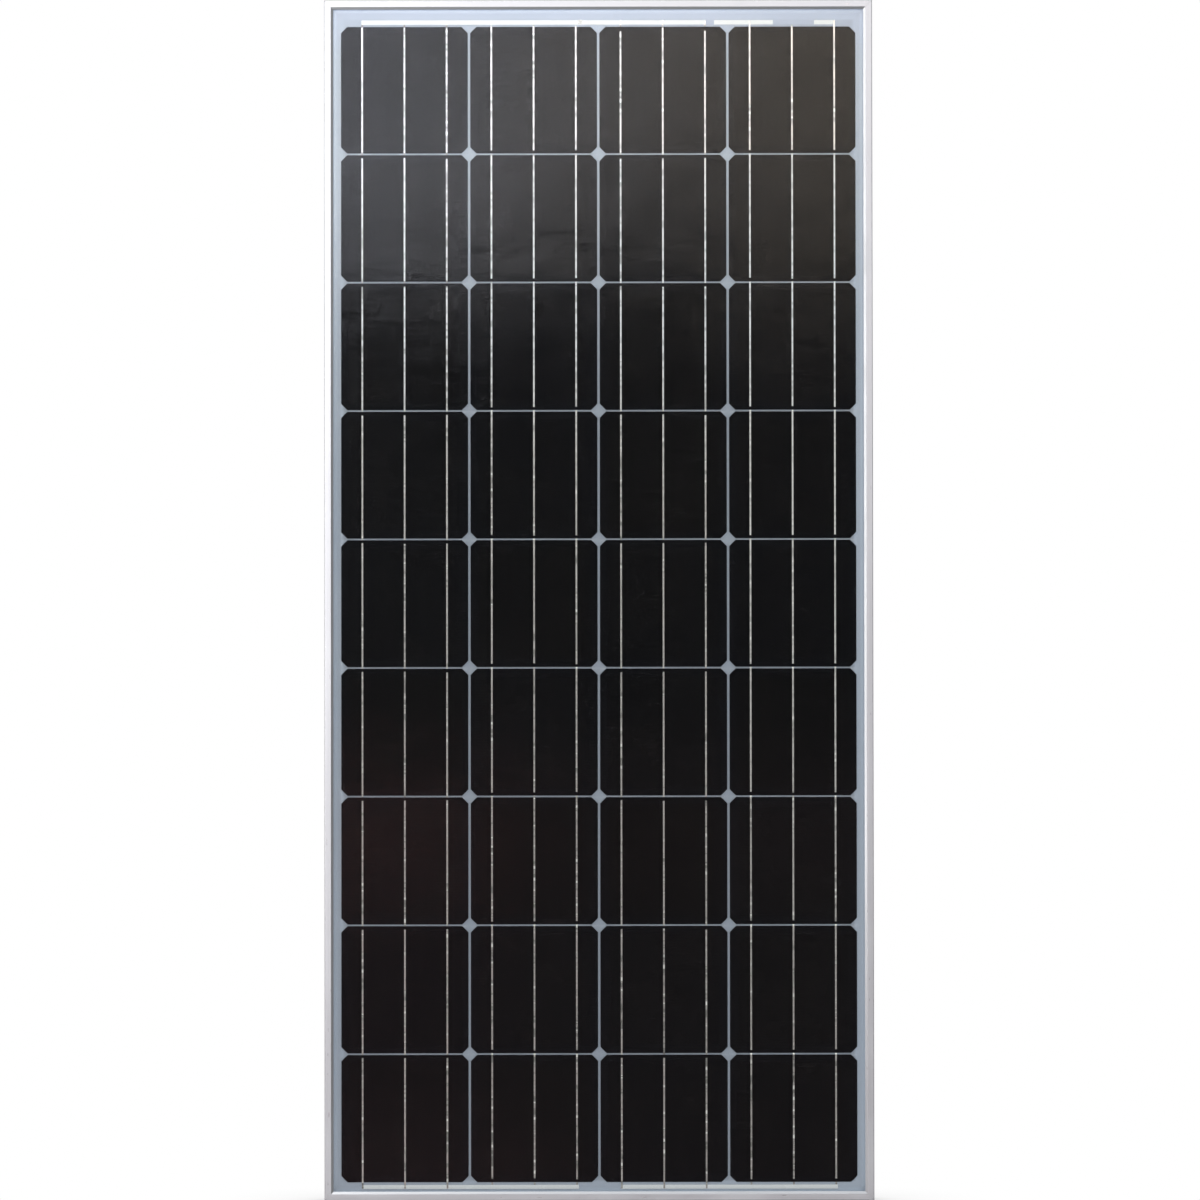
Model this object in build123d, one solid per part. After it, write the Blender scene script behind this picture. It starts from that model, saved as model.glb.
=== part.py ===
from build123d import *
import math
import os

# Framed photovoltaic module, 36 cells in 4 strings of 9, upright (portrait).
# Millimetres. Glass faces -Y, the back faces +Y, +Z is up.
# Origin: middle of the frame's width and depth, at its bottom edge.
# "Left" is -X. An inset or u is the distance in from the frame's outer face.

# Overall
FRAME_W, FRAME_H, FRAME_D = 674.0, 1474.0, 35.0   # X, Z, Y
FRONT, BACK = -FRAME_D / 2, FRAME_D / 2           # front of the lip, back of the flange
MID_Z = FRAME_H / 2
GAP = 0.01                       # working gap between parts that touch

# Frame extrusion section
WALL = 1.6                       # web thickness
LIP = 11.0                       # lip over the glass
LIP_BEVEL = 3.0                  # sloping inner edge of the lip
LIP_EDGE = 0.4                   # thickness left at the lip's inner edge
GROOVE = 5.8                     # depth in Y of the groove that holds the laminate
INNER_U = 10.2                   # inner face of the box section
FLANGE_LONG, FLANGE_SHORT = 28.0, 24.0   # back flange on the long and short rails
FLANGE_T = 1.8
FLANGE_Y = BACK - FLANGE_T       # front face of the back flange
SHELF_Y0 = FRONT + WALL + GROOVE # front face of the shelf behind the laminate
SHELF_Y1 = SHELF_Y0 + WALL
CHAMBER_U0, CHAMBER_U1 = WALL, INNER_U - WALL     # corner key chamber
CHAMBER_Y0, CHAMBER_Y1 = SHELF_Y1, FLANGE_Y

# Laminate layers
LAM_U = 2.6                      # inset of the laminate edge
GLASS_Y0, GLASS_T = -15.5, 3.2
EVA_F0, EVA_F1 = -12.29, -11.86  # front encapsulant
EVA_R0, EVA_R1 = -11.25, -10.81  # rear encapsulant
SHEET_Y0, SHEET_Y1 = -10.80, -10.50
SLIT_Z, SLIT_W, SLIT_END = 1398.3, 3.0, 27.0      # backsheet slit for the leads

# Leads and the terminal plates they end on
LEAD_X = (-22.0, 0.0, 22.0)
LEAD_W, LEAD_T = 5.0, 0.2
LEAD_Y = -11.03                  # front face of the leads behind the cells
BUS_TOP0, BUS_TOP1 = 1444.6, 1450.1
TERMINAL_Y0, TERMINAL_Y1 = -1.1, -0.3

os.makedirs("parts", exist_ok=True)


def save(name, shapes):
    """Write one node. A list becomes a group of separate solids."""
    if not isinstance(shapes, (list, tuple)):
        shapes = [shapes]
    solids = [solid for shape in shapes for solid in shape.solids()]
    node = solids[0] if len(solids) == 1 else Compound(children=solids)
    node.label = name
    export_step(node, os.path.join("parts", name + ".step"))


def block(x0, x1, y0, y1, z0, z1):
    return Pos((x0 + x1) / 2, (y0 + y1) / 2, (z0 + z1) / 2) * Box(x1 - x0, y1 - y0, z1 - z0)


def plate(inset, y0, y1):
    """Plate over the whole module, inset from the frame's outer faces."""
    return Pos(0, (y0 + y1) / 2, MID_Z) * Box(FRAME_W - 2 * inset, y1 - y0, FRAME_H - 2 * inset)


def slab(width, height, corner, x, z, y0, y1):
    """Plate in the XZ plane with rounded corners, centred on x and z."""
    plane = Plane(origin=(x, y0, z), x_dir=(1, 0, 0), z_dir=(0, 1, 0))
    return extrude(plane * RectangleRounded(width, height, corner), y1 - y0)


def cyl_z(x, y, z0, z1, radius):
    return Pos(x, y, (z0 + z1) / 2) * Cylinder(radius, z1 - z0)


def cyl_x(x0, x1, y, z, radius):
    return Pos((x0 + x1) / 2, y, z) * Rot(0, 90, 0) * Cylinder(radius, x1 - x0)


def cyl_y(x, y0, y1, z, radius):
    return Pos(x, (y0 + y1) / 2, z) * Rot(90, 0, 0) * Cylinder(radius, y1 - y0)


def slot_y(x, z, width, length, y0, y1):
    """Round-ended slot cutter, long along Z and through in Y."""
    half = (length - width) / 2
    return (block(x - width / 2, x + width / 2, y0, y1, z - half, z + half)
            + cyl_y(x, y0, y1, z - half, width / 2)
            + cyl_y(x, y0, y1, z + half, width / 2))


def yz_prism(points, x0, x1):
    """Polygon given as (z, y) points, extruded along X."""
    plane = Plane(origin=(x0, 0, 0), x_dir=(0, 1, 0), z_dir=(1, 0, 0))
    outline = Polyline(*[(y, z) for z, y in points], close=True)
    return extrude(plane * make_face(outline), x1 - x0)


def xz_prism(points, y0, y1):
    """Polygon given as (x, z) points, extruded along Y."""
    plane = Plane(origin=(0, y1, 0), x_dir=(1, 0, 0), z_dir=(0, -1, 0))
    return extrude(plane * make_face(Polyline(*points, close=True)), y1 - y0)


def turned(profile):
    """Closed (radius, z) profile turned about Z at the origin."""
    return revolve(Plane.XZ * make_face(Polyline(*profile, close=True)), Axis.Z, 360)


def thread_profile(radius, depth, z0, z1):
    """(radius, z) points up a wall from z0 to z1, with the thread as ring grooves."""
    pitch = 1.5
    points = [(radius, z0)]
    z = z0 + 0.5 * pitch
    while z + 0.5 * pitch <= z1:
        points += [(radius, z), (radius - depth, z + 0.35 * pitch), (radius, z + 0.7 * pitch)]
        z += pitch
    if abs(points[-1][1] - z1) > 1e-6:   # the last groove can end exactly at z1
        points.append((radius, z1))
    return points


def mirror_x(shape):
    return mirror(shape, Plane.YZ)


def mirror_z(shape):
    """Mirror about the frame's mid height."""
    return mirror(shape, Plane(origin=(0, 0, MID_Z), z_dir=(0, 0, 1)))


# ---------------------------------------------------------------------------
# Frame: four extruded rails mitred at 45 degrees, and four corner keys
# ---------------------------------------------------------------------------
MITRE_GAP = 0.10                 # each rail stops this far from the mitre plane, along its length
MITRE_REACH = 40.0               # the mitre cutters reach this far in
SLOT_W, SLOT_L, SLOT_U = 9.0, 14.0, 20.0          # mounting slots in the long rails
SLOT_OUT, SLOT_IN = 590.0, 400.0                  # from mid height
GROUND_R = 2.1                   # grounding hole at mid height
SHORT_SLOT_X = 230.0             # small slots in the short rails' flanges


def rail_section(flange):
    """Section in (u, y): lip, groove, box chamber and back flange."""
    outer = make_face(Polyline(
        (0, FRONT), (LIP - LIP_BEVEL, FRONT), (LIP, FRONT + WALL - LIP_EDGE), (LIP, FRONT + WALL),
        (WALL, FRONT + WALL), (WALL, SHELF_Y0), (INNER_U, SHELF_Y0), (INNER_U, FLANGE_Y),
        (flange, FLANGE_Y), (flange, BACK), (0, BACK), close=True))

    def at(u, y):
        return [v for v in outer.vertices() if abs(v.X - u) < 1e-6 and abs(v.Y - y) < 1e-6]

    outer = fillet(at(0, FRONT), 1.1)
    outer = fillet(at(0, BACK), 0.8)
    outer = fillet(at(LIP - LIP_BEVEL, FRONT), 0.5)
    outer = fillet(at(flange, BACK) + at(flange, FLANGE_Y), 0.5)
    outer = fillet(at(INNER_U, SHELF_Y0), 0.5)
    outer = fillet(at(INNER_U, FLANGE_Y), 0.8)
    chamber = Pos((CHAMBER_U0 + CHAMBER_U1) / 2, (CHAMBER_Y0 + CHAMBER_Y1) / 2) * Rectangle(
        CHAMBER_U1 - CHAMBER_U0, CHAMBER_Y1 - CHAMBER_Y0)
    section = outer - chamber
    # shallow grip lines along the outer face
    for y in (-4.4, 7.2):
        section -= make_face(Polyline(
            (-0.1, y), (0.35, y + 0.4), (0.35, y + 0.8), (-0.1, y + 1.2), close=True))
    return section


def left_rail():
    edge, reach, gap = -FRAME_W / 2, MITRE_REACH, MITRE_GAP
    rail = extrude(Pos(edge, 0) * rail_section(FLANGE_LONG), FRAME_H)
    rail = rail & xz_prism([(edge - 1, gap - 1), (edge + reach, reach + gap),
                            (edge + reach, FRAME_H - reach - gap),
                            (edge - 1, FRAME_H + 1 - gap)], FRONT - 1, BACK + 1)
    for dz in (-SLOT_OUT, -SLOT_IN, SLOT_IN, SLOT_OUT):
        rail -= slot_y(edge + SLOT_U, MID_Z + dz, SLOT_W, SLOT_L, FLANGE_Y - 1, BACK + 1)
    return rail - cyl_y(edge + SLOT_U, FLANGE_Y - 1, BACK + 1, MID_Z, GROUND_R)


def bottom_rail():
    edge, reach, gap = FRAME_W / 2, MITRE_REACH, MITRE_GAP
    plane = Plane(origin=(edge, 0, 0), x_dir=(0, 0, 1), z_dir=(-1, 0, 0))
    rail = extrude(plane * rail_section(FLANGE_SHORT), FRAME_W)
    rail = rail & xz_prism([(-edge - 1 + gap, -1), (edge + 1 - gap, -1),
                            (edge - reach - gap, reach), (-edge + reach + gap, reach)],
                           FRONT - 1, BACK + 1)
    for x in (-SHORT_SLOT_X, SHORT_SLOT_X):
        rail -= block(x - 3, x + 3, FLANGE_Y - 1, BACK + 1, 15, 19)
        rail -= (cyl_y(x - 3, FLANGE_Y - 1, BACK + 1, 17, 2)
                 + cyl_y(x + 3, FLANGE_Y - 1, BACK + 1, 17, 2))
    return rail


def corner_key():
    """L-shaped key with notched legs, in the bottom left corner."""
    clearance, length, bevel = 0.1, 62.0, 1.2
    notch, count, pitch, first = 0.45, 6, 5.5, 24.0
    near, far = CHAMBER_U0 + clearance, CHAMBER_U1 - clearance

    def notches(side, depth):
        points = []
        for i in range(count):
            x = first + i * pitch
            points += [(x, side), (x + 0.6, side + depth), (x + pitch - 1.2, side)]
        return points

    tip = [(length - bevel, near), (length, near + bevel),
           (length, far - bevel), (length - bevel, far)]
    along_x = ([(near, near)] + notches(near, notch) + tip
               + notches(far, -notch)[::-1] + [(far, far)])
    # the upright leg is the same outline with x and z swapped
    along_z = [(x, z) for z, x in along_x[-2:0:-1]]
    points = [(x - FRAME_W / 2, z) for x, z in along_x + along_z]
    return xz_prism(points, CHAMBER_Y0 + clearance, CHAMBER_Y1 - clearance)


def frame_sealant():
    """Silicone in the groove, with the bead squeezed out at the back."""
    seal = plate(WALL + GAP, FRONT + WALL + GAP, SHELF_Y0 - GAP)
    seal -= plate(LAM_U - GAP, GLASS_Y0 - GAP, SHEET_Y1 + GAP)
    seal -= plate(10.3, FRONT, GLASS_Y0)
    seal -= plate(9.9, SHEET_Y1, SHELF_Y0 + 1)
    bead = plate(INNER_U + GAP, SHEET_Y1 + GAP, SHELF_Y0 + 0.9)
    plane = Plane(origin=(0, SHELF_Y0 + 0.91, MID_Z), x_dir=(1, 0, 0), z_dir=(0, -1, 0))
    opening = Rectangle(FRAME_W - 2 * (INNER_U + 0.45), FRAME_H - 2 * (INNER_U + 0.45))
    bead -= extrude(plane * opening, 1.4, taper=52)
    bridge = plate(9.5, SHEET_Y1 + GAP, SHELF_Y0 - GAP) - plate(INNER_U + 0.6, FRONT, BACK)
    return seal + bridge + bead


left = left_rail()
bottom = bottom_rail()
save("frame_rail_left", left)
save("frame_rail_right", mirror_x(left))
save("frame_rail_bottom", bottom)
save("frame_rail_top", mirror_z(bottom))
key = corner_key()
top_key = mirror_z(key)
save("corner_keys", [key, top_key, mirror_x(key), mirror_x(top_key)])
save("frame_sealant", frame_sealant())

# ---------------------------------------------------------------------------
# Laminate: glass, encapsulant, cells, ribbons, encapsulant, backsheet
# ---------------------------------------------------------------------------
CELL, CELL_T, CELL_Y0 = 156.0, 0.2, -11.65
WAFER_R = 105.0                  # the square is cut from a 210 mm round wafer
COLS, ROWS = 4, 9
PITCH_X, PITCH_Z = 159.0, 158.0
FIELD_TOP = 1442.0               # top edge of the first row
RIBBON_W, RIBBON_T, RIBBON_PITCH = 2.0, 0.18, 52.0
RIBBON_F, RIBBON_B = -11.84, -11.44   # front faces of the two ribbon layers
BUS_BOT0, BUS_BOT1 = 13.7, 18.7
# Distance below the top cell's top edge where its front ribbon starts,
# by (column, row, ribbon); other ribbons follow a rule
RIBBON_START = {
    (0, 0, 0): 0.6, (0, 0, 1): 0.4, (0, 0, 2): 0.8,
    (2, 0, 0): 5.6, (2, 0, 1): 0.6, (2, 0, 2): 5.2,
}
TAB_Y = (-11.68, -11.46, -11.82, -11.60)   # front face of the top tabs, by column
# Bus ribbons: x0, x1, y0, y1, z0, z1
BUSES = {
    "bus_top_left": (-291.4, -12.2, -11.84, -11.69, BUS_TOP0, BUS_TOP1),
    "bus_top_middle": (-132.4, 132.4, -11.62, -11.47, BUS_TOP0, BUS_TOP1),
    "bus_top_right": (LEAD_X[2] - LEAD_W / 2, 291.4, -11.40, -11.26, BUS_TOP0, BUS_TOP1),
    "bus_bottom_left": (-291.5, -25.2, -11.65, -11.45, BUS_BOT0, BUS_BOT1),
    "bus_bottom_right": (26.4, 292.7, -11.65, -11.45, BUS_BOT0, BUS_BOT1),
}
# Boxes of each lead from its bus ribbon down to the slit: y0, y1, z0, z1
LEAD_BOXES = (
    ((-12.03, -11.85, 1445.5, 1450.5),          # left: hooks over the front of its bus
     (-12.03, LEAD_Y + LEAD_T, 1450.3, 1450.5),
     (LEAD_Y, LEAD_Y + LEAD_T, SLIT_Z - 0.1, 1450.5)),
    ((-11.46, -11.28, 1444.6, 1449.8),          # middle
     (-11.46, LEAD_Y + LEAD_T, 1444.6, 1444.8),
     (LEAD_Y, LEAD_Y + LEAD_T, SLIT_Z - 0.1, 1444.8)),
    ((-11.25, LEAD_Y + 0.1, 1444.6, 1449.8),    # right
     (LEAD_Y, LEAD_Y + LEAD_T, SLIT_Z - 0.1, 1449.8)),
)
FILM_X, FILM_Z0, FILM_Z1 = 30.0, 1392.0, 1444.4   # insulation film, half width and ends


def front_glass():
    glass = plate(LAM_U, GLASS_Y0, GLASS_Y0 + GLASS_T)
    return chamfer(glass.edges(), 0.35)


def front_encapsulant():
    """Front sheet with a rim that closes the cell layer around the cells."""
    layer = plate(LAM_U, EVA_F0, EVA_F1)
    rim = (plate(LAM_U, EVA_F1 - 0.02, EVA_R0 - GAP)
           - block(-319, 319, FRONT, BACK, 11.5, 1452.5))
    layer = layer + rim
    # pocket for the left lead, which hooks over the front of its bus ribbon
    return layer - block(LEAD_X[0] - 3.5, LEAD_X[0] + 3.5, -12.05, -11.8, 1445, 1451.2)


def cell_edges(row):
    """Bottom and top edge of a row, counted from the top."""
    top = FIELD_TOP - PITCH_Z * row
    return top - CELL, top


def column_x(col):
    return (col - (COLS - 1) / 2) * PITCH_X


def cell_string(col):
    blank = Box(CELL, CELL_T, CELL) & (Rot(90, 0, 0) * Cylinder(WAFER_R, CELL_T))
    return [Pos(column_x(col), CELL_Y0 + CELL_T / 2, sum(cell_edges(row)) / 2) * blank
            for row in range(ROWS)]


def ribbon(x, path):
    """Flat ribbon: path is (z, front y) from one end to the other."""
    points = path + [(z, y + RIBBON_T) for z, y in reversed(path)]
    return yz_prism(points, x - RIBBON_W / 2, x + RIBBON_W / 2)


def ribbon_string(col):
    """Ribbons of one string; each links a cell's face to the next cell's other face."""
    ribbons = []
    front_to_back = col in (0, 2)    # going down, from a cell's front to the next one's back
    head_lap, head_y, tail_y = ((4, RIBBON_B, RIBBON_F) if front_to_back
                                else (3.8, RIBBON_F, RIBBON_B))
    first_bottom, first_top = cell_edges(0)
    last_top = cell_edges(ROWS - 1)[1]
    for i in range(3):
        x = column_x(col) + (i - 1) * RIBBON_PITCH
        for row in range(ROWS - 1):
            bottom, top = cell_edges(row)
            next_bottom, next_top = cell_edges(row + 1)
            if front_to_back:
                start = RIBBON_START.get((col, row, i),
                                         3.6 + 0.35 * ((5 * row + 3 * i + 7 * col) % 4))
                path = [(top - start, RIBBON_F), (bottom - 0.1, RIBBON_F),
                        (next_top + 0.1, RIBBON_B), (next_bottom + 4, RIBBON_B)]
            else:
                start = 3.4 + 0.35 * ((3 * row + 5 * i + col) % 4)
                path = [(next_bottom + start, RIBBON_F), (next_top + 0.1, RIBBON_F),
                        (bottom - 0.1, RIBBON_B), (top - 4, RIBBON_B)]
            ribbons.append(ribbon(x, path))
        ribbons.append(ribbon(x, [(first_bottom + head_lap, head_y), (first_top + 0.1, head_y),
                                  (first_top + 2.1, TAB_Y[col]), (BUS_TOP1 - 0.5, TAB_Y[col])]))
        ribbons.append(ribbon(x, [(last_top - 4, tail_y), (BUS_BOT0 + 0.6, tail_y)]))
    return ribbons


def lead(x, boxes):
    """Lead from its bus, through the slit and down onto its terminal plate."""
    x0, x1 = x - LEAD_W / 2, x + LEAD_W / 2
    back = TERMINAL_Y1 + 0.02 + LEAD_T
    strip = block(x0, x1, *boxes[0])
    for extents in boxes[1:]:
        strip = strip + block(x0, x1, *extents)
    strip = strip + block(x0, x1, LEAD_Y, back, SLIT_Z - 0.1, SLIT_Z + 0.1)
    return strip + block(x0, x1, TERMINAL_Y1 + 0.02, back, 1376, SLIT_Z + 0.1)


def rear_encapsulant():
    """Rear sheet, cleared for the leads and the insulation film."""
    layer = plate(LAM_U, EVA_R0, EVA_R1)
    for x in LEAD_X:
        layer -= block(x - 3.2, x + 3.2, LEAD_Y - 0.03, 0, SLIT_Z - 1.3, 1452)
        layer -= block(x - 3.2, x + 3.2, -12, 0, 1444, 1452)
    return layer - block(-FILM_X - 0.2, FILM_X + 0.2, LEAD_Y - 0.12, LEAD_Y,
                         FILM_Z0 - 0.2, FILM_Z1 + 0.2)


def backsheet():
    sheet = plate(LAM_U, SHEET_Y0, SHEET_Y1)
    # slots barely longer than wide round off the slit's ends
    sheet -= (slot_y(-SLIT_END, SLIT_Z, SLIT_W, SLIT_W + 0.01, -11, -10)
              + slot_y(SLIT_END, SLIT_Z, SLIT_W, SLIT_W + 0.01, -11, -10))
    return sheet - block(-SLIT_END, SLIT_END, -11, -10, SLIT_Z - SLIT_W / 2, SLIT_Z + SLIT_W / 2)


save("front_glass", front_glass())
save("front_encapsulant", front_encapsulant())
for col in range(COLS):
    save("cell_string_%d" % (col + 1), cell_string(col))
    save("ribbon_string_%d" % (col + 1), ribbon_string(col))
for name, extents in BUSES.items():
    save(name, block(*extents))
save("bus_insulation_strips", [
    block(-140, -12, -11.68, -11.63, BUS_TOP0 - 0.4, BUS_TOP1 + 0.15),
    block(12, 142.7, -11.46, -11.41, BUS_TOP0 - 0.4, BUS_TOP1 + 0.15)])
save("edge_label_strip", block(215.3, 265.8, -11.84, -11.72, 1444.4, 1451))
save("lead_ribbons", [lead(x, boxes) for x, boxes in zip(LEAD_X, LEAD_BOXES)])
# film between the cells and the leads, so that the leads touch nothing on their way down
save("lead_insulation_film",
     block(-FILM_X, FILM_X, LEAD_Y - 0.11, LEAD_Y - 0.01, FILM_Z0, FILM_Z1))
save("rear_encapsulant", rear_encapsulant())
save("backsheet", backsheet())
save("rating_label", slab(96, 64, 2, 170, 1352, SHEET_Y1 + GAP, SHEET_Y1 + 0.16))

# ---------------------------------------------------------------------------
# Junction box
# ---------------------------------------------------------------------------
BOX_W, BOX_H, BOX_R = 110.0, 98.0, 6.0
BOX_Z = 1371.0                   # centre height
BOX_Z0, BOX_Z1 = BOX_Z - BOX_H / 2, BOX_Z + BOX_H / 2
FLOOR_Y0, FLOOR_Y1 = -9.70, -7.5
BOX_WALL = 3.2
RIM_Y = 9.0                      # rim of the base
LID_Y = 13.0                     # outer face of the lid
HINGE_Y, HINGE_Z = 8.0, BOX_Z1 + 3.4
HINGE_R, PIN_R = 3.1, 1.5
GLAND_X, GLAND_Y = 32.0, 1.0
NECK_Z = BOX_Z0 - 12             # outer end of the gland necks
CABLE_R, COPPER_R = 3.0, 1.2
CABLE_HOLE_R = 3.3
COPPER_HOLE_R = COPPER_R + 0.02
TERMINAL_X = ((-38, -19), (-5, 5), (19, 38))
SCREW_X, SCREW_Z = (-23.5, 0.0, 23.5), 1356
SADDLE_Z0, SADDLE_Z1, SADDLE_R = 1350.0, 1358.5, 2.6
CLIP_X = 3.9                     # clip legs and their slots, either side of a lead
CLIP_Z0, CLIP_Z1 = 1377, 1382


def box_slab(inset, corner, y0, y1):
    """Slab concentric with the box, inset from its sides."""
    return slab(BOX_W - 2 * inset, BOX_H - 2 * inset, corner, 0, BOX_Z, y0, y1)


def jbox_base():
    base = box_slab(0, BOX_R, FLOOR_Y0, RIM_Y)
    base += box_slab(-4, 8, FLOOR_Y0, FLOOR_Y0 + 1.5)
    base -= box_slab(BOX_WALL, BOX_R - BOX_WALL, FLOOR_Y1, RIM_Y + 1)
    base -= block(-32, 32, -11, -7, 1388, 1410)   # window for the leads
    # pedestals under the terminal plates
    for x0, x1 in TERMINAL_X:
        for z0, z1 in ((1351, 1361), (1365.5, 1373)):
            base += block(x0 + 0.5, x1 - 0.5, FLOOR_Y1 - 0.1, TERMINAL_Y0 - GAP, z0, z1)
    # low walls between the compartments
    for x in (-15, 15):
        base += block(x - 0.7, x + 0.7, FLOOR_Y1 - 0.1, 2.0, BOX_Z0 + BOX_WALL - 0.1, 1352)
    for x in SCREW_X:
        base -= cyl_y(x, -6.9, 0, SCREW_Z, 1.45)
    # outside ribs on the side walls
    for side in (-1, 1):
        x0, x1 = sorted((side * 54.9, side * 56))
        for i in range(7):
            z = BOX_Z - 33 + 11 * i
            base += block(x0, x1, -8.3, 6.0, z - 0.9, z + 0.9)
    # gland necks with threads
    profile = ([(0, NECK_Z), (7.0, NECK_Z)]
               + thread_profile(7.6, 0.45, NECK_Z + 0.6, BOX_Z0 - 0.8)
               + [(7.6, BOX_Z0 + 1.0), (0, BOX_Z0 + 1.0)])
    for x in (-GLAND_X, GLAND_X):
        base += Pos(x, GLAND_Y, 0) * turned(profile)
        base -= cyl_z(x, GLAND_Y, NECK_Z - 1, BOX_Z0 - 1, 5.6)
        base -= cyl_z(x, GLAND_Y, BOX_Z0 - 2, BOX_Z0 + BOX_WALL + 1, CABLE_HOLE_R)
    # hinge knuckles on the base
    for x0, x1 in ((-44, -36), (-4, 4), (36, 44)):
        base += block(x0, x1, HINGE_Y - HINGE_R, HINGE_Y, BOX_Z1 - 0.5, HINGE_Z)
        base += cyl_x(x0, x1, HINGE_Y, HINGE_Z, HINGE_R)
    base -= cyl_x(-46, 46, HINGE_Y, HINGE_Z, PIN_R + GAP)
    # catch for the lid's snap tongue
    base += yz_prism([(BOX_Z0 + 0.5, 0.9), (BOX_Z0 - 0.95, 1.4),
                      (BOX_Z0 - 0.95, 1.9), (BOX_Z0 + 0.5, 2.8)], -4, 4)
    return base


def jbox_lid():
    underside = RIM_Y + 0.1
    lid = box_slab(0, BOX_R, underside, LID_Y)
    lid = fillet([e for e in lid.edges() if abs(e.center().Y - LID_Y) < 1e-4], 1.0)
    lid -= box_slab(1.4, BOX_R - 1.4, RIM_Y - 1, 11.3)
    # lip that reaches down inside the base
    lid += (box_slab(BOX_WALL + 0.5, 2.4, 7.0, 11.4)
            - box_slab(BOX_WALL + 1.7, 1.4, 6.0, 11.31))
    # raised bars on the lid's outer face
    for i in range(6):
        lid += slab(70, 3.0, 1.4, 0, BOX_Z - 30 + 12 * i, LID_Y - 0.1, LID_Y + 0.6)
    # hinge knuckles on the lid
    for x0, x1 in ((-35.7, -26), (26, 35.7)):
        lid += block(x0, x1, underside, LID_Y, BOX_Z1 - 1.3, HINGE_Z)
        lid += block(x0, x1, HINGE_Y, LID_Y, BOX_Z1 + 0.35, HINGE_Z)
        lid += cyl_x(x0, x1, HINGE_Y, HINGE_Z, HINGE_R)
    lid -= cyl_x(-40, 40, HINGE_Y, HINGE_Z, PIN_R + 0.06)
    # snap tongue at the lower edge, with its barb past the catch
    lid += block(-5, 5, 11.0, LID_Y, BOX_Z0 - 2.4, BOX_Z0 + 1.3)
    lid += block(-5, 5, -0.9, LID_Y, BOX_Z0 - 2.4, BOX_Z0 - 1.2)
    lid += yz_prism([(BOX_Z0 - 1.3, -0.9), (BOX_Z0 - 1.0, -0.4),
                     (BOX_Z0 - 1.0, 0.4), (BOX_Z0 - 1.3, 0.8)], -4, 4)
    lid += block(-7, 7, LID_Y - 1.2, LID_Y, BOX_Z0 - 3.6, BOX_Z0 - 1.0)
    return lid


def hinge_pin():
    pin = cyl_x(-45.5, 45.5, HINGE_Y, HINGE_Z, PIN_R)
    return pin + (cyl_x(44.05, 45.5, HINGE_Y, HINGE_Z, 2.4)
                  + cyl_x(-45.5, -44.05, HINGE_Y, HINGE_Z, 2.4))


def terminal(x0, x1, saddle_x, screw_x, lead_x):
    """Terminal plate, with a saddle for the cable conductor unless saddle_x is None."""
    body = block(x0, x1, TERMINAL_Y0, TERMINAL_Y1, 1350, 1384)
    # folded top edge
    body += block(x0 + 1.5, x1 - 1.5, TERMINAL_Y0 - 1.6, TERMINAL_Y0 + 0.2, 1383.2, 1384)
    if saddle_x is not None:
        body += block(saddle_x - SADDLE_R, saddle_x + SADDLE_R, TERMINAL_Y0, GLAND_Y,
                      SADDLE_Z0, SADDLE_Z1)
        body += (cyl_z(saddle_x, GLAND_Y, SADDLE_Z0, SADDLE_Z1, SADDLE_R)
                 & block(-60, 60, TERMINAL_Y1, 8, 1340, 1370))
        body -= cyl_z(saddle_x, GLAND_Y, SADDLE_Z0 - 1, SADDLE_Z1 + 1, COPPER_HOLE_R)
    body -= cyl_y(screw_x, -4, 2, SCREW_Z, 1.6)
    for side in (-1, 1):
        x = lead_x + side * CLIP_X
        body -= block(x - 0.5, x + 0.5, -2, 0, CLIP_Z0 - 0.1, CLIP_Z1 + 0.1)
    return body


def ribbon_clip(x):
    """Clip over a lead, its legs through the terminal plate and turned outwards."""
    clip = block(x - 4.3, x + 4.3, TERMINAL_Y1 + 0.24, TERMINAL_Y1 + 0.74, CLIP_Z0, CLIP_Z1)
    for side in (-1, 1):
        leg = x + side * CLIP_X
        foot0, foot1 = sorted((x + side * 3.5, x + side * 5.0))
        clip += block(leg - 0.4, leg + 0.4, -1.9, TERMINAL_Y1 + 0.5, CLIP_Z0, CLIP_Z1)
        clip += block(foot0, foot1, -1.9, -1.45, CLIP_Z0, CLIP_Z1)
    return clip


def terminal_screw(x):
    """Cross-head screw."""
    slot_y0, slot_y1 = TERMINAL_Y1 + 0.9, TERMINAL_Y1 + 2
    screw = cyl_y(x, TERMINAL_Y1 + 0.01, TERMINAL_Y1 + 1.7, SCREW_Z, 2.6)
    screw = screw + cyl_y(x, -6.6, TERMINAL_Y1 + 0.5, SCREW_Z, 1.4)
    screw -= block(x - 1.8, x + 1.8, slot_y0, slot_y1, SCREW_Z - 0.3, SCREW_Z + 0.3)
    return screw - block(x - 0.3, x + 0.3, slot_y0, slot_y1, SCREW_Z - 1.8, SCREW_Z + 1.8)


def diode(x):
    """Axial bypass diode whose leads rest on two terminal plates."""
    y, z = TERMINAL_Y1 + 0.62, 1369.0
    body = cyl_x(x - 4.7, x + 4.7, y, z, 2.65)
    body = chamfer([e for e in body.edges() if e.geom_type == GeomType.CIRCLE], 0.4)
    return body + cyl_x(x - 9.6, x + 9.6, y, z, 0.6)


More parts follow.
